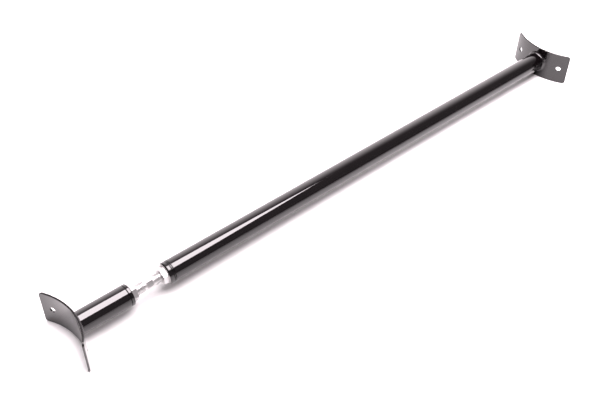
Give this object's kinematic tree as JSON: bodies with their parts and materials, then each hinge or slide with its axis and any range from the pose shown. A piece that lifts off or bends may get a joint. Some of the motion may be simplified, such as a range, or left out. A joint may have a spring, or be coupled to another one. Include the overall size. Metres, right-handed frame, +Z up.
{
  "type": "adjustable pull-up bar",
  "caption": "Adjustable steel pull-up bar with a curved, drilled saddle plate at each end and a screw adjuster near one end, for fixing between two round posts.",
  "frame": {"origin": "under the middle of the bar, on the plane that the lower edges of the saddles rest on", "axes": "+X along the bar towards the main saddle, the end away from the adjuster; +Z up, along the posts"},
  "size_m": [1.0358, 0.119, 0.058],
  "materials": {
    "black_enamel": "gloss black enamel",
    "painted_weld": "gloss black enamel over weld",
    "bush_steel": "gloss black enamel with a bare turned end face",
    "zinc_plate": "bright zinc plate"
  },
  "bodies": {
    "main_bar": {"main_tube": "black_enamel", "main_saddle": "black_enamel", "main_saddle_weld": "painted_weld", "main_bush": "bush_steel", "main_bush_weld": "painted_weld"},
    "short_bar": {"short_tube": "black_enamel", "short_saddle": "black_enamel", "short_saddle_weld": "painted_weld", "short_bush": "bush_steel", "short_bush_weld": "painted_weld"},
    "stud": {"adjuster_stud": "zinc_plate"},
    "main_nut": {"main_jam_nut": "zinc_plate"},
    "short_nut": {"short_jam_nut": "zinc_plate"}
  },
  "joints": [
    {"name": "length_adjust", "type": "slide", "parent": "main_bar", "child": "short_bar", "axis": [-1, 0, 0], "range_m": [-0.024, 0.03]},
    {"name": "stud_travel", "type": "slide", "parent": "main_bar", "child": "stud", "axis": [-1, 0, 0], "range_m": [-0.012, 0.015]},
    {"name": "main_nut_turn", "type": "hinge", "parent": "main_bar", "child": "main_nut", "pos_m": [-0.3595, 0, 0.029], "axis": [1, 0, 0], "range_deg": [0, 180]},
    {"name": "short_nut_turn", "type": "hinge", "parent": "short_bar", "child": "short_nut", "pos_m": [-0.4098, 0, 0.029], "axis": [1, 0, 0], "range_deg": [0, 180]}
  ],
  "couplings": [
    {"joint": "stud_travel", "follows": "length_adjust", "ratio": 0.5}
  ]
}
